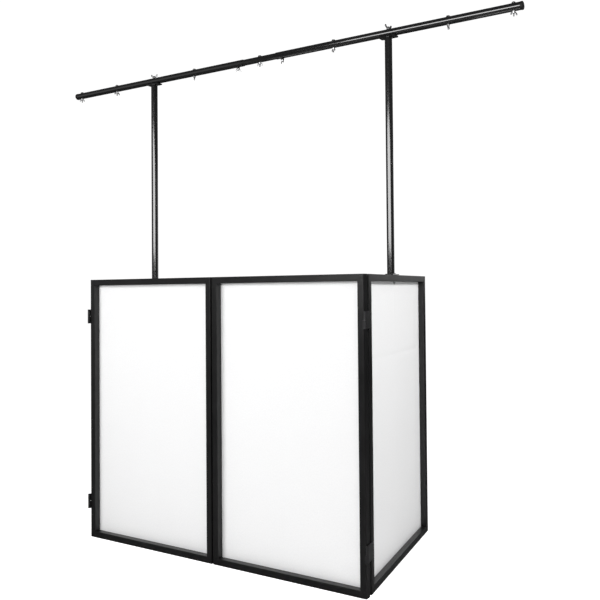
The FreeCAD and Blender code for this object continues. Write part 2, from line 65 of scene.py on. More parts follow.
UP = Vector((0.0, 0.0, 1.0))
FRONT_FACE_Y = -0.392613
CORNER_PIN = Vector((0.773984, -0.395613, 0.0))
TOE_IN = math.radians(10.3)
WING_REACH = 0.048004
LEAF = 0.0025
POST_OUT = 0.697113
POST_Y = -0.057912
BAR_HEIGHT = 2.2494
BAR_RADIUS = 0.016
COUPLER_RADIUS = 0.0142
SEAT_GAP = 0.0001
PANEL_WIDTH = 0.762
PANEL_HEIGHT = 1.22
HALF_GAP = 0.004
SHARP_ANGLE = math.radians(38.0)
WHITE = (1.0, 1.0, 1.0, 1.0)


class Slot(Enum):
    """The record's material slots."""

    FRAME = "frame"
    SCRIM = "scrim"
    HINGE = "hinge"
    BAR = "bar"
    CAP = "cap"
    ZINC = "zinc"


class Socket(Enum):
    """The kinds of socket that a node group takes."""

    NUMBER = "NodeSocketFloat"
    COLOUR = "NodeSocketColor"
    VECTOR = "NodeSocketVector"


# Node groups.
def new_group(name: str, inputs: dict[str, Socket], outputs: dict[str, Socket]) -> bpy.types.NodeTree:
    """Starts a shader node group with named sockets.

    Args:
        name: The group's name.
        inputs: Socket kinds by input name.
        outputs: Socket kinds by output name.

    Returns:
        The group, with its input and output nodes in place.
    """
    tree = bpy.data.node_groups.new(name, "ShaderNodeTree")
    for label, kind in inputs.items():
        tree.interface.new_socket(label, in_out="INPUT", socket_type=kind.value)
    for label, kind in outputs.items():
        tree.interface.new_socket(label, in_out="OUTPUT", socket_type=kind.value)
    tree.nodes.new("NodeGroupInput")
    tree.nodes.new("NodeGroupOutput")
    return tree


@dataclass
class Wiring:
    """Adds nodes to a tree and links them in one call each."""

    tree: bpy.types.NodeTree

    def node(self, kind: str, links: dict | None = None, **settings: object) -> bpy.types.Node:
        """Adds a node.

        Args:
            kind: The node's type name.
            links: What feeds each input, by its name or index: an output socket or a plain value.
            settings: Properties of the node itself.

        Returns:
            The new node.
        """
        made = self.tree.nodes.new(kind)
        for key, value in settings.items():
            setattr(made, key, value)
        self.feed(made, links or {})
        return made

    def feed(self, node: bpy.types.Node, links: dict) -> None:
        """Feeds a node's inputs, by name or index, from output sockets or plain values."""
        for key, value in links.items():
            if isinstance(value, bpy.types.NodeSocket):
                self.tree.links.new(value, node.inputs[key])
            else:
                node.inputs[key].default_value = value

    def math(self, operation: str, first: object, second: object = 0.0) -> bpy.types.NodeSocket:
        """Adds a Math node and gives its output."""
        return self.node("ShaderNodeMath", {0: first, 1: second}, operation=operation).outputs[0]

    def ramp(
        self, value: object, low: float, high: float, start: object, end: object
    ) -> bpy.types.NodeSocket:
        """Adds a clamped Map Range node and gives its output."""
        links = {"Value": value, "From Min": low, "From Max": high, "To Min": start, "To Max": end}
        return self.node("ShaderNodeMapRange", links, clamp=True).outputs["Result"]

    def mix(self, factor: object, first: object, second: object) -> bpy.types.NodeSocket:
        """Adds a colour Mix node and gives its output."""
        made = self.tree.nodes.new("ShaderNodeMix")
        made.data_type = "RGBA"
        wanted = (("Factor_Float", factor), ("A_Color", first), ("B_Color", second))
        for identifier, value in wanted:
            socket = next(s for s in made.inputs if s.identifier == identifier)
            if isinstance(value, bpy.types.NodeSocket):
                self.tree.links.new(value, socket)
            else:
                socket.default_value = value
        return next(s for s in made.outputs if s.identifier == "Result_Color")

    def noise(self, vector: bpy.types.NodeSocket, scale: object, detail: float) -> bpy.types.NodeSocket:
        """Adds a Noise Texture and gives its value."""
        links = {"Vector": vector, "Scale": scale, "Detail": detail}
        return self.node("ShaderNodeTexNoise", links).outputs["Fac"]


def skin_grain_group() -> bpy.types.NodeTree:
    """Builds the fine grain and cloudy handling marks of a coated, plated or moulded skin."""
    tree = new_group(
        "skin grain",
        {
            "Vector": Socket.VECTOR,
            "Scale": Socket.NUMBER,
            "Dark": Socket.COLOUR,
            "Light": Socket.COLOUR,
            "Smooth": Socket.NUMBER,
            "Rough": Socket.NUMBER,
        },
        {"Colour": Socket.COLOUR, "Roughness": Socket.NUMBER, "Height": Socket.NUMBER},
    )
    wire = Wiring(tree)
    given = tree.nodes["Group Input"].outputs
    fine = wire.noise(given["Vector"], given["Scale"], 2.0)
    cloud = wire.noise(given["Vector"], wire.math("DIVIDE", given["Scale"], 70.0), 4.0)
    specks = wire.ramp(fine, 0.3, 0.7, 0.0, 1.0)
    marks = wire.ramp(cloud, 0.35, 0.7, 0.0, 1.0)
    blend = wire.math("ADD", wire.math("MULTIPLY", specks, 0.45), wire.math("MULTIPLY", marks, 0.55))
    result = tree.nodes["Group Output"].inputs
    tree.links.new(wire.mix(blend, given["Dark"], given["Light"]), result["Colour"])
    tree.links.new(wire.ramp(blend, 0.0, 1.0, given["Smooth"], given["Rough"]), result["Roughness"])
    tree.links.new(fine, result["Height"])
    return tree


def knit_group() -> bpy.types.NodeTree:
    """Builds the ribs of a warp-knit stretch cloth, from a map in metres."""
    tree = new_group(
        "stretch knit",
        {"Map": Socket.VECTOR, "Pitch": Socket.NUMBER},
        {"Rib": Socket.NUMBER, "Shade": Socket.NUMBER},
    )
    wire = Wiring(tree)
    given = tree.nodes["Group Input"].outputs
    parts = wire.node("ShaderNodeSeparateXYZ", {"Vector": given["Map"]}).outputs
    turns = wire.math("DIVIDE", 2.0 * math.pi, given["Pitch"])
    wale = wire.math("SINE", wire.math("MULTIPLY", parts["X"], turns))
    course = wire.math("SINE", wire.math("MULTIPLY", parts["Y"], wire.math("MULTIPLY", turns, 1.4)))
    rib = wire.math("ADD", wire.math("MULTIPLY", wale, 0.35), wire.math("MULTIPLY", course, 0.15))
    slub = wire.noise(given["Map"], 160.0, 3.0)
    tree.links.new(wire.math("ADD", rib, 0.5), tree.nodes["Group Output"].inputs["Rib"])
    tree.links.new(slub, tree.nodes["Group Output"].inputs["Shade"])
    return tree


def hem_group(half_width: float, half_height: float) -> bpy.types.NodeTree:
    """Builds the stitch line of a hem that runs round a cloth.

    Args:
        half_width: Half the cloth's width.
        half_height: Half the cloth's height.

    Returns:
        A group that gives the stitches as a mask from a map in metres.
    """
    tree = new_group(
        "hem stitching",
        {"Map": Socket.VECTOR, "Inset": Socket.NUMBER, "Length": Socket.NUMBER},
        {"Stitch": Socket.NUMBER},
    )
    wire = Wiring(tree)
    given = tree.nodes["Group Input"].outputs
    parts = wire.node("ShaderNodeSeparateXYZ", {"Vector": given["Map"]}).outputs
    from_side = wire.math("SUBTRACT", half_width, wire.math("ABSOLUTE", parts["X"]))
    from_end = wire.math("SUBTRACT", half_height, wire.math("ABSOLUTE", parts["Y"]))
    edge = wire.math("MINIMUM", from_side, from_end)
    line = wire.math("COMPARE", edge, given["Inset"])
    line.node.inputs[2].default_value = 0.0006
    by_side = wire.math("LESS_THAN", from_side, from_end)
    across = wire.math("MULTIPLY", parts["X"], wire.math("SUBTRACT", 1.0, by_side))
    along = wire.math("ADD", wire.math("MULTIPLY", parts["Y"], by_side), across)
    dash = wire.math("LESS_THAN", wire.math("FRACT", wire.math("DIVIDE", along, given["Length"])), 0.7)
    tree.links.new(wire.math("MULTIPLY", line, dash), tree.nodes["Group Output"].inputs["Stitch"])
    return tree


# Finishes.
@dataclass(frozen=True)
class SkinFinish:
    """A coated, plated or moulded skin with a fine grain."""

    name: str
    dark: Colour
    light: Colour
    smooth: float
    rough: float
    grains: float
    relief: float
    metallic: float = 0.0
    coat: float = 0.0
    shine: float = 0.5
    coat_roughness: float = 0.09
    bump: float = 0.6

    def material(self, grain: bpy.types.NodeTree) -> bpy.types.Material:
        """Makes the finish's material.

        Args:
            grain: The shared skin grain group.

        Returns:
            The material.
        """
        made = bpy.data.materials.new(self.name)
        made.use_nodes = True
        wire = Wiring(made.node_tree)
        skin = wire.node("ShaderNodeGroup", node_tree=grain)
        skin_links = {
            "Vector": wire.node("ShaderNodeTexCoord").outputs["Object"],
            "Scale": self.grains,
            "Dark": self.dark,
            "Light": self.light,
            "Smooth": self.smooth,
            "Rough": self.rough,
        }
        wire.feed(skin, skin_links)
        bump_links = {"Height": skin.outputs["Height"], "Strength": self.bump, "Distance": self.relief}
        bump = wire.node("ShaderNodeBump", bump_links)
        shader_links = {
            "Base Color": skin.outputs["Colour"],
            "Roughness": skin.outputs["Roughness"],
            "Normal": bump.outputs["Normal"],
            "Metallic": self.metallic,
            "Specular IOR Level": self.shine,
            "Coat Weight": self.coat,
            "Coat Roughness": self.coat_roughness,
        }
        wire.feed(made.node_tree.nodes["Principled BSDF"], shader_links)
        return made


@dataclass(frozen=True)
class ClothFinish:
    """White stretch cloth with a knit rib and a stitched hem, mapped in metres from the cloth's middle."""

    name: str = "white stretch scrim"
    shade: Colour = (0.80, 0.80, 0.805, 1.0)
    white: Colour = (0.93, 0.93, 0.93, 1.0)
    thread: Colour = (0.66, 0.66, 0.67, 1.0)
    pitch: float = 0.0016
    relief: float = 0.00012
    bump: float = 0.5
    stitch_inset: float = 0.0185
    stitch_length: float = 0.0045
    sheen: float = 0.15
    sheen_roughness: float = 0.4
    shine: float = 0.25

    def material(self, knit: bpy.types.NodeTree, hem: bpy.types.NodeTree) -> bpy.types.Material:
        """Makes the cloth's material.

        Args:
            knit: The knit group.
            hem: The hem stitching group.

        Returns:
            The material.
        """
        made = bpy.data.materials.new(self.name)
        made.use_nodes = True
        wire = Wiring(made.node_tree)
        spread = wire.node("ShaderNodeUVMap", uv_map="cloth").outputs["UV"]
        ribs = wire.node("ShaderNodeGroup", node_tree=knit)
        wire.feed(ribs, {"Map": spread, "Pitch": self.pitch})
        sewn = wire.node("ShaderNodeGroup", node_tree=hem)
        wire.feed(sewn, {"Map": spread, "Inset": self.stitch_inset, "Length": self.stitch_length})
        tone = wire.math("MULTIPLY", ribs.outputs["Rib"], 0.35)
        tone = wire.math("ADD", tone, wire.ramp(ribs.outputs["Shade"], 0.25, 0.75, 0.3, 0.65))
        cloth = wire.mix(tone, self.shade, self.white)
        colour = wire.mix(sewn.outputs["Stitch"], cloth, self.thread)
        height = wire.math("ADD", ribs.outputs["Rib"], wire.math("MULTIPLY", sewn.outputs["Stitch"], 2.0))
        bump_links = {"Height": height, "Strength": self.bump, "Distance": self.relief}
        bump = wire.node("ShaderNodeBump", bump_links)
        shader_links = {
            "Base Color": colour,
            "Roughness": wire.ramp(ribs.outputs["Shade"], 0.2, 0.8, 0.72, 0.9),
            "Normal": bump.outputs["Normal"],
            "Sheen Weight": self.sheen,
            "Sheen Roughness": self.sheen_roughness,
            "Specular IOR Level": self.shine,
        }
        wire.feed(made.node_tree.nodes["Principled BSDF"], shader_links)
        return made


POWDER_COAT = SkinFinish(
    "black powder coat",
    dark=(0.004, 0.004, 0.0042, 1.0),
    light=(0.009, 0.009, 0.0092, 1.0),
    smooth=0.3,
    rough=0.4,
    grains=900.0,
    relief=0.00002,
    shine=0.45,
)
HINGE_COAT = SkinFinish(
    "black hinge coat",
    dark=(0.01, 0.01, 0.0105, 1.0),
    light=(0.022, 0.022, 0.0225, 1.0),
    smooth=0.3,
    rough=0.42,
    grains=1200.0,
    relief=0.000015,
)
BAR_PAINT = SkinFinish(
    "semi-gloss bar paint",
    dark=(0.004, 0.004, 0.0042, 1.0),
    light=(0.008, 0.008, 0.0082, 1.0),
    smooth=0.12,
    rough=0.15,
    grains=80.0,
    relief=0.0000003,
    coat=0.6,
    shine=1.0,
)
CAP_PLASTIC = SkinFinish(
    "moulded cap plastic",
    dark=(0.006, 0.006, 0.006, 1.0),
    light=(0.014, 0.014, 0.014, 1.0),
    smooth=0.5,
    rough=0.66,
    grains=1500.0,
    relief=0.00003,
    shine=0.3,
)
BRIGHT_ZINC = SkinFinish(
    "bright zinc plate",
    dark=(0.5, 0.5, 0.51, 1.0),
    light=(0.68, 0.68, 0.68, 1.0),
    smooth=0.36,
    rough=0.5,
    grains=1400.0,
    relief=0.000008,
    metallic=1.0,
)


# Mesh making.
def grown(bm: bmesh.types.BMesh, known: set) -> list[bmesh.types.BMVert]:
    """Gives the vertices of a mesh that are not in a known set."""
    return [vert for vert in bm.verts if vert not in known]


def faces_of(verts: list[bmesh.types.BMVert] | set[bmesh.types.BMVert]) -> list[bmesh.types.BMFace]:
    """Gives the faces that meet any of the vertices."""
    return list({face for vert in verts for face in vert.link_faces})


def soften(
    bm: bmesh.types.BMesh, parts: list, rounding: float, segments: int, affect: str = "EDGES"
) -> None:
    """Rounds a mesh's edges, or its corners where affect says vertices, in some steps."""
    bmesh.ops.bevel(
        bm, geom=parts, offset=rounding, affect=affect, segments=segments, profile=0.5, material=-1
    )


def lathe(bm: bmesh.types.BMesh, profile: list[tuple[float, float]], steps: int, place: Matrix) -> None:
    """Spins a profile round Z into a closed skin and puts it in its place.

    Args:
        bm: The mesh it joins.
        profile: Radius and height of each point, from the bottom pole to the top pole.
        steps: How many steps make the turn.
        place: Where the finished form goes.
    """
    known = set(bm.verts)
    points = [bm.verts.new((radius, 0.0, height)) for radius, height in profile]
    lines = [bm.edges.new(pair) for pair in zip(points, points[1:])]
    bmesh.ops.spin(
        bm, geom=points + lines, cent=(0, 0, 0), axis=UP, angle=2.0 * math.pi, steps=steps, use_merge=True
    )
    made = grown(bm, known)
    bmesh.ops.remove_doubles(bm, verts=made, dist=1e-7)
    made = grown(bm, known)
    bmesh.ops.recalc_face_normals(bm, faces=faces_of(made))
    bmesh.ops.transform(bm, matrix=place, verts=made)


def rounded_drum(
    bm: bmesh.types.BMesh, radius: float, height: float, rounding: float, place: Matrix, segments: int = 36
) -> None:
    """Adds a drum that stands on Z 0, with its top rim rounded.

    Args:
        bm: The mesh it joins.
        radius: The drum's radius.
        height: The drum's height.
        rounding: How much of the top rim is rounded away.
        place: Where the finished drum goes.
        segments: How many sides it has.
    """
    known = set(bm.verts)
    bmesh.ops.create_cone(
        bm, cap_ends=True, segments=segments, radius1=radius, radius2=radius, depth=height,
        matrix=Matrix.Translation((0, 0, height / 2)),
    )
    made = set(grown(bm, known))
    rim = [e for e in bm.edges if set(e.verts) <= made and min(v.co.z for v in e.verts) > height * 0.99]
    soften(bm, rim, rounding, 5)
    bmesh.ops.transform(bm, matrix=place, verts=grown(bm, known))


def hex_nut(bm: bmesh.types.BMesh, flats: float, height: float, bore: float, place: Matrix) -> None:
    """Adds a six-sided nut that stands on Z 0, with its upper corners turned off to a cone.

    Args:
        bm: The mesh it joins.
        flats: The width across its flats.
        height: The nut's height.
        bore: The radius of its hole.
        place: Where the finished nut goes.
    """
    known = set(bm.verts)
    half, crown = flats / 2, flats * 0.47
    ring = [(bore, 0.0), (half, 0.0), (half, height * 0.9), (crown, height), (bore, height), (bore, 0.0)]
    lathe(bm, ring, 48, Matrix())
    made = grown(bm, known)
    for vert in made:
        if math.isclose(math.hypot(vert.co.x, vert.co.y), half, rel_tol=0.001):
            out = half / math.cos(math.atan2(vert.co.y, vert.co.x) % math.radians(60.0) - math.radians(30.0))
            vert.co.x, vert.co.y = vert.co.x * out / half, vert.co.y * out / half
            if vert.co.z > height / 2:
                vert.co.z = height - (out - crown) * math.tan(math.radians(30.0))
    bmesh.ops.transform(bm, matrix=place, verts=made)


def rounded_bar(
    bm: bmesh.types.BMesh, size: tuple[float, float, float], rounding: float, place: Matrix
) -> None:
    """Adds a block centred on the origin with every edge rounded, and puts it in its place.

    Args:
        bm: The mesh it joins.
        size: The block's size on each axis.
        rounding: The edges' rounding.
        place: Where the finished block goes.
    """
    known = set(bm.verts)
    bmesh.ops.create_cube(bm, size=1.0, matrix=Matrix.Diagonal((*size, 1.0)))
    made = set(grown(bm, known))
    edges = [edge for edge in bm.edges if set(edge.verts) <= made]
    soften(bm, edges, rounding, 2)
    bmesh.ops.transform(bm, matrix=place, verts=grown(bm, known))


def to_object(
    bm: bmesh.types.BMesh, name: str, finish: bpy.types.Material, body: str
) -> bpy.types.Object:
    """Turns a mesh into a finished piece that rides on a body.

    Args:
        bm: The mesh, which is freed.
        name: The piece's name.
        finish: Its material.
        body: The body that carries it.

    Returns:
        The piece.
    """
    mesh = bpy.data.meshes.new(name)
    bm.to_mesh(mesh)
    bm.free()
    mesh.polygons.foreach_set("use_smooth", [True] * len(mesh.polygons))
    mesh.set_sharp_from_angle(angle=SHARP_ANGLE)
    mesh.materials.append(finish)
    piece = bpy.data.objects.new(name, mesh)
    bpy.context.collection.objects.link(piece)
    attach(piece, body)
    log.info("%s: %d faces on %s", name, len(mesh.polygons), body)
    return piece


def corner_turn(side: float) -> Matrix:
    """The place of the hinge pin on the right (1) or left (-1), turned with its side panel."""
    pin = Matrix.Translation((side * CORNER_PIN.x, CORNER_PIN.y, 0.0))
    return pin @ Matrix.Rotation(side * TOE_IN, 4, "Z")


def wing_seat(side: float) -> Matrix:
    """The place of the side panel on the right (1) or left (-1), with its front turned outwards."""
    along = WING_REACH if side > 0 else WING_REACH + PANEL_WIDTH
    start = Matrix.Translation((-side * LEAF / 2, along, 0.0))
    return corner_turn(side) @ start @ Matrix.Rotation(side * math.pi / 2, 4, "Z")


# Sub-assemblies.
@dataclass(frozen=True)
class Fold:
    """A crease that storage left across a cloth, deepest at one side."""

    height: float
    depth: float
    spread: float
    share_in_middle: float = 0.6
    share_across: float = 0.8


FRONT_FOLD = Fold(height=0.0, depth=0.0005, spread=0.004)
WING_FOLD = Fold(height=0.268, depth=0.0048, spread=0.009)


@dataclass(frozen=True)
class Tension:
    """How a stretched cloth ripples, in lengths and in shares of its pull."""

    ease: float = 0.05
    corner_reach: float = 0.12
    corner_wave: float = 0.021
    edge_wave: float = 0.03
    edge_share: float = 0.35
    crease_width: float = 0.004
    crease_share: float = 0.55
    sway_across: float = 0.19
    sway_up: float = 0.31
    sway_share: float = 0.6


@dataclass
class Panel:
    """One square-tube panel: its stretch cloth and the ground welds of its mitres."""

    name: str
    seat: Matrix
    fold: Fold = FRONT_FOLD
    tension: Tension = Tension()
    width: float = PANEL_WIDTH
    height: float = PANEL_HEIGHT
    tube: float = 0.028
    cloth_inset: float = 0.005
    cloth_gap: float = 0.0001
    cloth_thickness: float = 0.0008
    cloth_grid: tuple[int, int] = (94, 150)
    hem_width: float = 0.018
    hem_margin: float = 0.004
    hem_rise: float = 0.0007
    pull: float = 0.0009
    weld_end: float = 0.003
    weld_width: float = 0.0016
    weld_front: float = 0.0006
    weld_back: float = 0.00012
    weld_rounding: float = 0.00004

    @property
    def flat(self) -> tuple[float, float]:
        """The cloth's flat width and height."""
        return self.width - 2 * self.cloth_inset, self.height - 2 * self.cloth_inset

    def from_edge(self, face: bmesh.types.BMFace) -> float:
        """How far a face of the lying cloth stays from the cloth's edge."""
        across, up = self.flat
        from_side = across / 2 - max(abs(vert.co.x) for vert in face.verts)
        from_end = up / 2 - max(abs(vert.co.y) for vert in face.verts)
        return min(from_side, from_end)

    def out_of_plane(self, x: float, z: float) -> float:
        """How far the stretched cloth leaves its plane between the tubes.

        Args:
            x: Place across the cloth, from its middle.
            z: Place up the cloth, from its middle.

        Returns:
            The distance towards the back.
        """
        clear_x = self.width / 2 - self.tube - abs(x)
        clear_z = self.height / 2 - self.tube - abs(z)
        clear = min(clear_x, clear_z)
        if clear <= 0.0:
            return 0.0
        ways, fold = self.tension, self.fold
        along = x if clear_z < clear_x else z
        inside = min(1.0, clear / ways.ease)
        corner = math.exp(-math.hypot(clear_x, clear_z) / ways.corner_reach)
        drawn = math.sin((clear_x - clear_z) / ways.corner_wave) * corner
        edge = math.exp(-clear / ways.ease) * math.sin(along / ways.edge_wave) * ways.edge_share
        crease = math.exp(-((x / ways.crease_width) ** 2)) * ways.crease_share
        sway = ways.sway_share * math.sin(x / ways.sway_across + z / ways.sway_up)
        ripple = drawn + edge + crease + sway + ways.sway_share
        share = fold.share_in_middle + fold.share_across * x / self.width
        dip = fold.depth * math.exp(-(((z - fold.height) / fold.spread) ** 2)) * share
        return inside * (self.pull * ripple + dip)

    def cloth(self, finish: bpy.types.Material) -> bpy.types.Object:
        """Builds the cloth over the panel's back, with its folded hem.

        Args:
            finish: The cloth's material.

        Returns:
            The cloth.
        """
        across, up = self.flat
        columns, rows = self.cloth_grid
        lie = Matrix.Diagonal((across, up, 1.0, 1.0))
        bm = bmesh.new()
        bmesh.ops.create_grid(bm, x_segments=columns, y_segments=rows, size=0.5, matrix=lie)
        for vert in bm.verts:
            vert.co.z = self.out_of_plane(vert.co.x, vert.co.y)
        spread = bm.loops.layers.uv.new("cloth")
        for face in bm.faces:
            for loop in face.loops:
                loop[spread].uv = (loop.vert.co.x, loop.vert.co.y)
        bmesh.ops.solidify(bm, geom=bm.faces[:], thickness=self.cloth_thickness)
        low = min(vert.co.z for vert in bm.verts)
        for vert in bm.verts:
            vert.co.z -= low
        hem = [
            face for face in bm.faces
            if face.normal.z > 0.5 and self.from_edge(face) < self.hem_width - self.hem_margin
        ]
        raised = bmesh.ops.extrude_face_region(bm, geom=hem)["geom"]
        lifted = [part for part in raised if isinstance(part, bmesh.types.BMVert)]
        bmesh.ops.delete(bm, geom=hem, context="FACES")
        bmesh.ops.translate(bm, verts=lifted, vec=(0.0, 0.0, self.hem_rise))
        lay = Matrix.Translation((self.width / 2, self.tube + self.cloth_gap, self.height / 2))
        stand = Matrix(((1, 0, 0, 0), (0, 0, 1, 0), (0, 1, 0, 0), (0, 0, 0, 1)))
        bmesh.ops.transform(bm, matrix=self.seat @ lay @ stand, verts=bm.verts)
        bmesh.ops.recalc_face_normals(bm, faces=bm.faces[:])
        piece = to_object(bm, f"{self.name}_cloth", finish, self.name)
        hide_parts(f"{self.name}_scrim")
        return piece

    def welds(self, finish: bpy.types.Material) -> bpy.types.Object:
        """Builds the ground weld beads along the mitres, on the front and the back of each corner.

        Args:
            finish: The frame's material.

        Returns:
            The beads as one piece.
        """
        bm = bmesh.new()
        half = self.tube / 2
        length = self.tube * math.sqrt(2.0) - self.weld_end
        for x, slant_x in ((half, 1.0), (self.width - half, -1.0)):
            for z, slant_z in ((half, 1.0), (self.height - half, -1.0)):
                turn = Matrix.Rotation(-slant_x * slant_z * math.radians(45.0), 4, "Y")
                for y, thick in ((0.0, self.weld_front), (self.tube, self.weld_back)):
                    place = self.seat @ Matrix.Translation((x, y, z)) @ turn
                    rounded_bar(bm, (length, thick, self.weld_width), self.weld_rounding, place)
        return to_object(bm, f"{self.name}_welds", finish, self.name)


@dataclass
class WingGrip:
    """A cast grip with a tapered hub and two wings, drawn with its seat at Z 0 and its wings rising."""

    base: float
    top: float
    hub: float
    span: float
    rise: float
    blade: float
    bore: float
    shank: tuple[float, float] | None = None

    def build(self, bm: bmesh.types.BMesh, place: Matrix) -> None:
        """Adds the grip to a mesh.

        Args:
            bm: The mesh it joins.
            place: Where the grip goes.
        """
        if self.shank:
            radius, length = self.shank
            foot = [(0.0, -length), (radius, -length), (radius, 0.0), (self.base, 0.0)]
            crown = [(self.top * 0.7, self.hub), (0.0, self.hub)]
        else:
            foot = [(self.bore, 0.0), (self.base, 0.0)]
            crown = [(self.bore, self.hub), (self.bore, 0.0)]
        shoulder = [(self.base, self.hub * 0.12), (self.top, self.hub * 0.86), (self.top * 0.9, self.hub)]
        lathe(bm, foot + shoulder + crown, 36, place)
        for turn in (0.0, math.pi):
            self.wing(bm, place @ Matrix.Rotation(turn, 4, "Z"))

    def wing(self, bm: bmesh.types.BMesh, place: Matrix) -> None:
        """Adds one ear: an outline with rounded corners, thickened and softened.

        Args:
            bm: The mesh it joins.
            place: Where the ear goes.
        """
        half, rise = self.span / 2, self.rise
        root = (self.base + self.bore) / 2 if not self.shank else self.base * 0.6
        outline = (
            (root, rise * 0.06),
            (half * 0.62, rise * 0.18),
            (half * 0.98, rise * 0.56),
            (half * 0.98, rise * 0.96),
            (half * 0.66, rise * 0.96),
            (half * 0.44, rise * 0.5),
            (root, rise * 0.44),
        )
        known = set(bm.verts)
        points = [bm.verts.new((x, -self.blade / 2, z)) for x, z in outline]
        bm.faces.new(points)
        soften(bm, points[1:6], self.blade * 0.9, 4, affect="VERTICES")
        face = next(f for f in bm.faces if not set(f.verts) & known)
        thick = bmesh.ops.extrude_face_region(bm, geom=[face])["geom"]
        moved = [part for part in thick if isinstance(part, bmesh.types.BMVert)]
        bmesh.ops.translate(bm, verts=moved, vec=(0.0, self.blade, 0.0))
        made = set(grown(bm, known))
        rims = [
            edge for edge in bm.edges
            if set(edge.verts) <= made and abs(edge.verts[0].co.y - edge.verts[1].co.y) < 1e-6
        ]
        soften(bm, rims, self.blade * 0.3, 3)
        ear = grown(bm, known)
        bmesh.ops.recalc_face_normals(bm, faces=faces_of(ear))
        bmesh.ops.transform(bm, matrix=place, verts=ear)


@dataclass
class ThreadedStud:
    """A round stud with a cut thread, drawn from its free end at Z 0 upwards."""

    radius: float
    pitch: float
    depth_share: float = 0.54
    nose_share: float = 0.75
    root_share: float = 0.46
    start_share: float = 0.9
    free_share: float = 1.6
    run_out: float = 0.0004
    root_sink: float = 0.0002
    crest_half: float = 0.0001
    steps: int = 18

    def build(self, bm: bmesh.types.BMesh, threaded: float, plain: float, place: Matrix) -> None:
        """Adds the stud to a mesh.

        Args:
            bm: The mesh it joins.
            threaded: The length with a thread on it.
            plain: The length of plain shank above the thread.
            place: Where the stud goes, with its free end at the place's origin.
        """
        core = self.radius - self.depth_share * self.pitch
        nose = core * self.nose_share
        top = threaded + plain
        foot = [(0.0, 0.0), (nose, 0.0), (core, core - nose), (core, threaded)]
        body = [(self.radius, threaded + self.run_out), (self.radius, top), (0.0, top)]
        lathe(bm, foot + body, 24, place)
        known = set(bm.verts)
        half = self.pitch * self.root_share
        inner = core - self.root_sink
        start = self.pitch * self.start_share
        shape = (
            (inner, start - half),
            (self.radius, start - self.crest_half),
            (self.radius, start + self.crest_half),
            (inner, start + half),
        )
        points = [bm.verts.new((r, 0.0, z)) for r, z in shape]
        lines = [bm.edges.new((points[i], points[(i + 1) % 4])) for i in range(4)]
        turns = max(1, int((threaded - self.free_share * self.pitch) / self.pitch))
        bmesh.ops.spin(
            bm, geom=points + lines, cent=(0, 0, 0), axis=UP, dvec=(0.0, 0.0, self.pitch / self.steps),
            angle=2.0 * math.pi * turns, steps=self.steps * turns, use_merge=False,
        )
        made = set(grown(bm, known))
        ends = [edge for edge in bm.edges if set(edge.verts) <= made and len(edge.link_faces) == 1]
        bmesh.ops.holes_fill(bm, edges=ends, sides=4)
        bmesh.ops.recalc_face_normals(bm, faces=faces_of(made))
        bmesh.ops.transform(bm, matrix=place, verts=list(made))


@dataclass
class Corner:
    """One corner's hinges: the rivets that hold their leaves to the side panel."""

    name: str
    side: float
    body: str
    low: float = 0.168
    high: float = 1.045
    hold: float = 0.02
    rivet_radius: float = 0.0032
    rivet_height: float = 0.0013
    rivet_spread: float = 0.021
    rivet_rounding: float = 0.0011

    def rivets(self, finish: bpy.types.Material) -> bpy.types.Object:
        """Builds the rivet heads on the side panel's leaves.

        Args:
            finish: The hinge's material.

        Returns:
            The rivet heads as one piece.
        """
        bm = bmesh.new()
        wing = corner_turn(self.side)
        outwards = Matrix.Rotation(self.side * math.pi / 2, 4, "Y")
        for middle in (self.low, self.high):
            for offset in (-self.rivet_spread, 0.0, self.rivet_spread):
                spot = Matrix.Translation((self.side * LEAF / 2, WING_REACH + self.hold / 2, middle + offset))
                place = wing @ spot @ outwards
                rounded_drum(bm, self.rivet_radius, self.rivet_height, self.rivet_rounding, place, 24)
        return to_object(bm, f"{self.name}_rivets", finish, self.body)


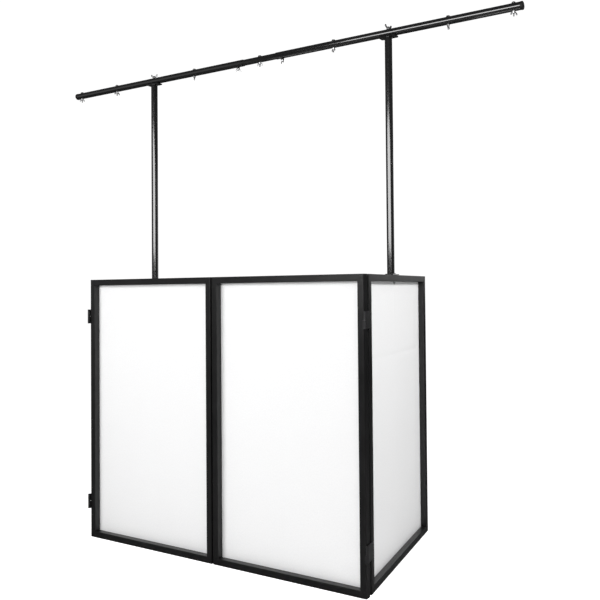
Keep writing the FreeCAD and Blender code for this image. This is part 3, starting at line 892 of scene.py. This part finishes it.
@dataclass
class Upright:
    """One post: the weld beads at its foot and under its saddle, and its wing screw."""

    name: str
    side: float
    radius: float = 0.016
    foot_top: float = 1.2243
    stub_top: float = 2.2293
    foot_bolt_set: float = 0.042
    bead: float = 0.0012
    bead_sink: float = 0.001
    screw_shank: tuple[float, float] = (0.004, 0.0502)
    screw_turn: float = 0.0

    @property
    def spot(self) -> Matrix:
        """The post's place on the floor plan."""
        return Matrix.Translation((self.side * POST_OUT, POST_Y, 0.0))

    @property
    def bolt_spot(self) -> Matrix:
        """The foot bolt's place on the floor plan, behind the post along the side panel's rail."""
        turned = self.spot @ Matrix.Rotation(self.side * TOE_IN, 4, "Z")
        return turned @ Matrix.Translation((0.0, self.foot_bolt_set, 0.0))

    def beads(self, finish: bpy.types.Material) -> bpy.types.Object:
        """Builds the weld beads round the post's foot and under the saddle plate.

        Args:
            finish: The bar paint.

        Returns:
            Both beads as one piece.
        """
        bm = bmesh.new()
        inner = self.radius - self.bead_sink
        for height, way in ((self.foot_top, 1.0), (self.stub_top, -1.0)):
            ring = [
                (inner, 0.0),
                (self.radius + self.bead * 0.8, 0.0),
                (self.radius + self.bead * 0.72, way * self.bead * 0.5),
                (self.radius + self.bead * 0.3, way * self.bead),
                (inner, way * self.bead * 1.2),
                (inner, 0.0),
            ]
            lathe(bm, ring, 48, self.spot @ Matrix.Translation((0.0, 0.0, height)))
        return to_object(bm, f"{self.name}_post_beads", finish, "overhead")

    def wing_screw(self, finish: bpy.types.Material) -> bpy.types.Object:
        """Builds the wing screw that goes down through the bar into the saddle.

        Args:
            finish: The zinc plate.

        Returns:
            The screw.
        """
        bm = bmesh.new()
        seat = self.spot @ Matrix.Translation((0.0, 0.0, BAR_HEIGHT + BAR_RADIUS + SEAT_GAP))
        turn = Matrix.Rotation(math.radians(self.screw_turn), 4, "Z")
        large_grip(shank=self.screw_shank).build(bm, seat @ turn)
        label = f"{self.name}_post_screw"
        piece = to_object(bm, f"{label}_cast", finish, label)
        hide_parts(label)
        return piece


def small_grip(shank: tuple[float, float] | None = None) -> WingGrip:
    """The grip of the lamp nuts and joint screws."""
    return WingGrip(
        base=0.0065, top=0.005, hub=0.008, span=0.03, rise=0.016, blade=0.0026, bore=0.0033, shank=shank
    )


def large_grip(shank: tuple[float, float] | None = None) -> WingGrip:
    """The grip of the post screws."""
    return WingGrip(
        base=0.008, top=0.0065, hub=0.01, span=0.038, rise=0.02, blade=0.0032, bore=0.0043, shank=shank
    )


@dataclass
class LampBar:
    """The lighting bar's fasteners: lamp bolts with their wing nuts, and the joint screws."""

    pitch: float = 0.280
    tail: float = 0.02
    bolt_radius: float = 0.003
    bolt_pitch: float = 0.001
    thread_over: float = 0.002
    head_radius: float = 0.008
    head_height: float = 0.005
    head_rounding: float = 0.0035
    head_sink: float = 0.001
    joint_out: float = 0.133
    joint_shank: tuple[float, float] = (0.003, 0.0164)
    boss_height: float = 0.007
    nut_turns: tuple[float, ...] = (20.0, 75.0, 130.0, 10.0, 155.0, 95.0, 40.0)
    joint_turns: tuple[float, float] = (25.0, 150.0)

    def outs(self) -> list[float]:
        """The lamp bolts' places along the bar, from left to right."""
        right = [POST_OUT - self.pitch, POST_OUT + self.pitch, POST_OUT + 2 * self.pitch]
        return sorted([-out for out in right] + [0.0] + right)

    def axis_at(self, out: float, height: float) -> Matrix:
        """The place on the bar's line at a distance from the middle and a height from the bar's centre."""
        return Matrix.Translation((out, POST_Y, BAR_HEIGHT + height))

    def round_at(self, out: float) -> float:
        """The bar's radius where a bolt goes through it."""
        return BAR_RADIUS if out else COUPLER_RADIUS

    def bolts(self, finish: bpy.types.Material) -> bpy.types.Object:
        """Builds the dome-headed lamp bolts with their threaded ends.

        Args:
            finish: The zinc plate.

        Returns:
            All the bolts as one piece.
        """
        bm = bmesh.new()
        stud = ThreadedStud(self.bolt_radius, self.bolt_pitch)
        threaded = self.tail + self.thread_over
        for out in self.outs():
            reach = self.round_at(out)
            top = self.axis_at(out, reach + SEAT_GAP)
            plain = 2 * reach - self.thread_over + self.head_sink
            rounded_drum(bm, self.head_radius, self.head_height, self.head_rounding, top)
            stud.build(bm, threaded, plain, self.axis_at(out, -reach - self.tail))
        piece = to_object(bm, "lamp_bolts_threaded", finish, "overhead")
        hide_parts("lamp_bolts")
        return piece

    def nuts(self, finish: bpy.types.Material) -> list[bpy.types.Object]:
        """Builds the wing nuts that hang under the bar.

        Args:
            finish: The zinc plate.

        Returns:
            The nuts, from left to right.
        """
        made = []
        for number, (out, turn) in enumerate(zip(self.outs(), self.nut_turns), start=1):
            seat = self.axis_at(out, -self.round_at(out) - SEAT_GAP)
            made.append(self.hanging_grip(f"lamp_nut_{number}", seat, turn, small_grip(), finish))
        return made

    def joint_screws(self, finish: bpy.types.Material) -> list[bpy.types.Object]:
        """Builds the wing screws that lock the coupler from below.

        Args:
            finish: The zinc plate.

        Returns:
            The left and the right screw.
        """
        made = []
        for name, side, turn in (("left", -1.0, self.joint_turns[0]), ("right", 1.0, self.joint_turns[1])):
            seat = self.axis_at(side * self.joint_out, -BAR_RADIUS - self.boss_height - SEAT_GAP)
            grip = small_grip(shank=self.joint_shank)
            made.append(self.hanging_grip(f"{name}_joint_screw", seat, turn, grip, finish))
        return made

    def hanging_grip(
        self, label: str, seat: Matrix, turn: float, grip: WingGrip, finish: bpy.types.Material
    ) -> bpy.types.Object:
        """Builds one grip with its wings hanging down.

        Args:
            label: The node that it replaces, which is also its body.
            seat: Where its seat is.
            turn: How far it is turned, in degrees.
            grip: The grip's sizes.
            finish: The zinc plate.

        Returns:
            The grip.
        """
        bm = bmesh.new()
        turned = Matrix.Rotation(math.radians(turn), 4, "Z") @ Matrix.Rotation(math.pi, 4, "X")
        grip.build(bm, seat @ turned)
        piece = to_object(bm, f"{label}_cast", finish, label)
        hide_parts(label)
        return piece


@dataclass
class FootFasteners:
    """The bolt that holds one post's foot to the side panel's top rail, and its nut under the rail."""

    upright: Upright
    wing: str
    nut_turn: float
    radius: float = 0.003
    pitch: float = 0.001
    head_radius: float = 0.007
    head_height: float = 0.004
    head_rounding: float = 0.0028
    flats: float = 0.01
    nut_height: float = 0.005
    nut_play: float = 0.0003
    foot_plate: float = 0.004
    pin_rounding: float = 0.0002
    tail: float = 0.012
    thread_over: float = 0.002
    rail_bottom: float = 1.192
    rail_top: float = 1.22

    def at_height(self, height: float) -> Matrix:
        """The place on the bolt's line at a height."""
        return self.upright.bolt_spot @ Matrix.Translation((0.0, 0.0, height))

    def shank(self, bm: bmesh.types.BMesh, top: float) -> None:
        """Adds a threaded shank to a mesh, from its free end under the rail up to a height."""
        end = self.rail_bottom - self.tail
        threaded = self.tail + self.thread_over
        ThreadedStud(self.radius, self.pitch).build(bm, threaded, top - end - threaded, self.at_height(end))

    def bolt(self, finish: bpy.types.Material) -> bpy.types.Object:
        """Builds the bolt with its head on the foot plate, as long as its own body holds it.

        Args:
            finish: The zinc plate.

        Returns:
            The bolt.
        """
        bm = bmesh.new()
        top = self.upright.foot_top
        rounded_drum(bm, self.head_radius, self.head_height, self.head_rounding, self.at_height(top))
        if self.upright.side > 0:
            self.shank(bm, top)
        else:
            plate = self.at_height(top - self.foot_plate)
            rounded_drum(bm, self.radius, self.foot_plate, self.pin_rounding, plate)
        label = f"{self.upright.name}_foot_bolt"
        piece = to_object(bm, f"{label}_threaded", finish, "overhead")
        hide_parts(label)
        return piece

    def stud(self, finish: bpy.types.Material) -> bpy.types.Object:
        """Builds the threaded stud that stays in the left rail.

        Args:
            finish: The zinc plate.

        Returns:
            The stud.
        """
        bm = bmesh.new()
        self.shank(bm, self.rail_top)
        label = f"{self.upright.name}_foot_stud"
        piece = to_object(bm, f"{label}_threaded", finish, self.wing)
        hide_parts(label)
        return piece

    def nut(self, finish: bpy.types.Material) -> bpy.types.Object:
        """Builds the chamfered six-sided nut under the rail.

        Args:
            finish: The zinc plate.

        Returns:
            The nut.
        """
        bm = bmesh.new()
        turn = Matrix.Rotation(math.radians(self.nut_turn), 4, "Z") @ Matrix.Rotation(math.pi, 4, "X")
        seat = self.at_height(self.rail_bottom) @ turn
        hex_nut(bm, self.flats, self.nut_height, self.radius + self.nut_play, seat)
        label = f"{self.upright.name}_foot_nut"
        piece = to_object(bm, f"{label}_chamfered", finish, label)
        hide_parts(label)
        return piece


# Studio.
@dataclass(frozen=True)
class SoftBox:
    """A rectangular soft box, and whether matt and glossy surfaces show it."""

    name: str
    spot: tuple[float, float, float]
    aim: tuple[float, float, float]
    size: tuple[float, float]
    watts: float
    diffuse: bool = True
    glossy: bool = True

    def hang(self) -> None:
        """Hangs the soft box where it is, turned to what it points at."""
        data = bpy.data.lights.new(self.name, "AREA")
        data.shape = "RECTANGLE"
        data.size, data.size_y = self.size
        data.energy = self.watts
        light = bpy.data.objects.new(self.name, data)
        light.visible_camera = False
        light.visible_diffuse = self.diffuse
        light.visible_glossy = self.glossy
        turn = (Vector(self.aim) - Vector(self.spot)).to_track_quat("-Z", "Y").to_matrix().to_4x4()
        light.matrix_world = Matrix.Translation(self.spot) @ turn
        bpy.context.collection.objects.link(light)


SOFT_BOXES = (
    SoftBox("key box", (1.3, -3.0, 2.05), (1.3, 0.0, 1.6), (5.2, 1.1), 78.0, glossy=False),
    SoftBox("gloss card", (1.3, -3.0, 2.06), (1.3, 0.0, 2.06), (5.2, 1.14), 108.0, diffuse=False),
    SoftBox("dim card", (-4.3, -3.0, 1.8), (-4.3, 0.0, 1.8), (3.6, 3.2), 9.4, diffuse=False),
    SoftBox("wash box", (-1.6, -3.2, 1.3), (0.0, -0.2, 1.0), (1.5, 1.5), 34.0, glossy=False),
    SoftBox("side box", (3.0, 0.1, 2.3), (0.0, -0.2, 1.0), (0.6, 0.6), 50.0, glossy=False),
    SoftBox("back box", (1.1, 2.9, 1.75), (0.8, 0.0, 1.3), (1.2, 1.1), 3.6),
)


@dataclass
class Studio:
    """A white studio: floor, surrounding light, soft boxes and the camera."""

    focal_px: float = 722.08
    frame_px: float = 600.0
    centre_px: tuple[float, float] = (400.48, 273.67)
    yaw: float = math.radians(28.6559)
    pitch: float = math.radians(1.1822)
    roll: float = math.radians(-0.6343)
    stand: tuple[float, float, float] = (2.1954, -2.7153, 1.1619)
    floor_half: float = 60.0
    floor_dark: Colour = (0.88, 0.88, 0.88, 1.0)
    floor_light: Colour = (0.93, 0.93, 0.93, 1.0)
    floor_in_gloss: Colour = (0.2, 0.2, 0.2, 1.0)
    floor_glow: float = 0.9
    room_light: float = 0.17
    room_in_gloss: float = 0.08
    room_seen: float = 1.05

    def camera(self) -> None:
        """Sets the camera where the photograph was taken from."""
        data = bpy.data.cameras.new("studio camera")
        data.sensor_fit = "HORIZONTAL"
        data.sensor_width = 36.0
        data.lens = self.focal_px * data.sensor_width / self.frame_px
        data.shift_x = (self.frame_px / 2 - self.centre_px[0]) / self.frame_px
        data.shift_y = (self.centre_px[1] - self.frame_px / 2) / self.frame_px
        data.clip_end = 200.0
        camera = bpy.data.objects.new("studio camera", data)
        level = Matrix.Rotation(math.pi / 2 + self.pitch, 4, "X")
        aim = Matrix.Rotation(self.yaw, 4, "Z") @ level @ Matrix.Rotation(self.roll, 4, "Z")
        camera.matrix_world = Matrix.Translation(self.stand) @ aim
        bpy.context.collection.objects.link(camera)
        bpy.context.scene.camera = camera

    def floor(self) -> None:
        """Lays a wide pale floor."""
        bm = bmesh.new()
        bmesh.ops.create_grid(bm, x_segments=1, y_segments=1, size=self.floor_half)
        mesh = bpy.data.meshes.new("studio floor")
        bm.to_mesh(mesh)
        bm.free()
        paint = bpy.data.materials.new("pale floor")
        paint.use_nodes = True
        wire = Wiring(paint.node_tree)
        spots = wire.noise(wire.node("ShaderNodeTexCoord").outputs["Object"], 3.0, 3.0)
        shade = wire.mix(spots, self.floor_dark, self.floor_light)
        rays = wire.node("ShaderNodeLightPath").outputs
        shade = wire.mix(rays["Is Glossy Ray"], shade, self.floor_in_gloss)
        shader_links = {
            "Base Color": shade,
            "Roughness": 0.9,
            "Specular IOR Level": 0.0,
            "Emission Color": WHITE,
            "Emission Strength": wire.ramp(rays["Is Camera Ray"], 0.0, 1.0, 0.0, self.floor_glow),
        }
        wire.feed(paint.node_tree.nodes["Principled BSDF"], shader_links)
        mesh.materials.append(paint)
        floor = bpy.data.objects.new("studio_floor", mesh)
        bpy.context.collection.objects.link(floor)

    def surround(self) -> None:
        """Sets a white room that shows white and lights softly."""
        world = bpy.data.worlds.new("white room")
        bpy.context.scene.world = world
        world.use_nodes = True
        wire = Wiring(world.node_tree)
        rays = wire.node("ShaderNodeLightPath").outputs
        lit = wire.ramp(rays["Is Glossy Ray"], 0.0, 1.0, self.room_light, self.room_in_gloss)
        strength = wire.ramp(rays["Is Camera Ray"], 0.0, 1.0, lit, self.room_seen)
        wire.feed(world.node_tree.nodes["Background"], {"Color": WHITE, "Strength": strength})
        bpy.context.scene.view_settings.view_transform = "Standard"

    def lights(self) -> None:
        """Hangs the studio's soft boxes."""
        for box in SOFT_BOXES:
            box.hang()


def dress_nodes(frame: dict, finishes: dict[Slot, bpy.types.Material]) -> None:
    """Gives every carried-over CAD node the finish of its slot.

    Args:
        frame: What the frame loader returned.
        finishes: Materials by slot.
    """
    slots = {entry["node"]: Slot(entry["material_slot"]) for entry in frame["record"]["subparts"]}
    for label, piece in frame["nodes"].items():
        piece.data.materials.clear()
        piece.data.materials.append(finishes[slots[label]])
        log.info("%s: %s", label, finishes[slots[label]].name)


def main() -> None:
    """Builds the dressed booth, its studio and its camera."""
    logging.basicConfig(level=logging.INFO, format="%(name)s %(message)s")
    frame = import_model()
    grain = skin_grain_group()
    panels = (
        Panel("front_left", Matrix.Translation((-HALF_GAP - PANEL_WIDTH, FRONT_FACE_Y, 0.0))),
        Panel("front_right", Matrix.Translation((HALF_GAP, FRONT_FACE_Y, 0.0))),
        Panel("left_wing", wing_seat(-1.0), WING_FOLD),
        Panel("right_wing", wing_seat(1.0), WING_FOLD),
    )
    across, up = panels[0].flat
    cloth = ClothFinish().material(knit_group(), hem_group(across / 2, up / 2))
    finishes = {
        Slot.FRAME: POWDER_COAT.material(grain),
        Slot.HINGE: HINGE_COAT.material(grain),
        Slot.BAR: BAR_PAINT.material(grain),
        Slot.CAP: CAP_PLASTIC.material(grain),
        Slot.ZINC: BRIGHT_ZINC.material(grain),
        Slot.SCRIM: cloth,
    }
    dress_nodes(frame, finishes)
    for panel in panels:
        panel.cloth(cloth)
        panel.welds(finishes[Slot.FRAME])
    for corner in (Corner("left_corner", -1.0, "left_wing"), Corner("right_corner", 1.0, "right_wing")):
        corner.rivets(finishes[Slot.HINGE])
    zinc = finishes[Slot.ZINC]
    feet = (
        FootFasteners(Upright("left", -1.0, screw_turn=15.0), "left_wing", 8.0),
        FootFasteners(Upright("right", 1.0, screw_turn=70.0), "right_wing", 21.0),
    )
    for foot in feet:
        foot.upright.beads(finishes[Slot.BAR])
        foot.upright.wing_screw(zinc)
        foot.bolt(zinc)
        foot.nut(zinc)
    feet[0].stud(zinc)
    bar = LampBar()
    bar.bolts(zinc)
    bar.nuts(zinc)
    bar.joint_screws(zinc)
    studio = Studio()
    studio.surround()
    studio.floor()
    studio.lights()
    studio.camera()


if __name__ == "__main__":
    main()
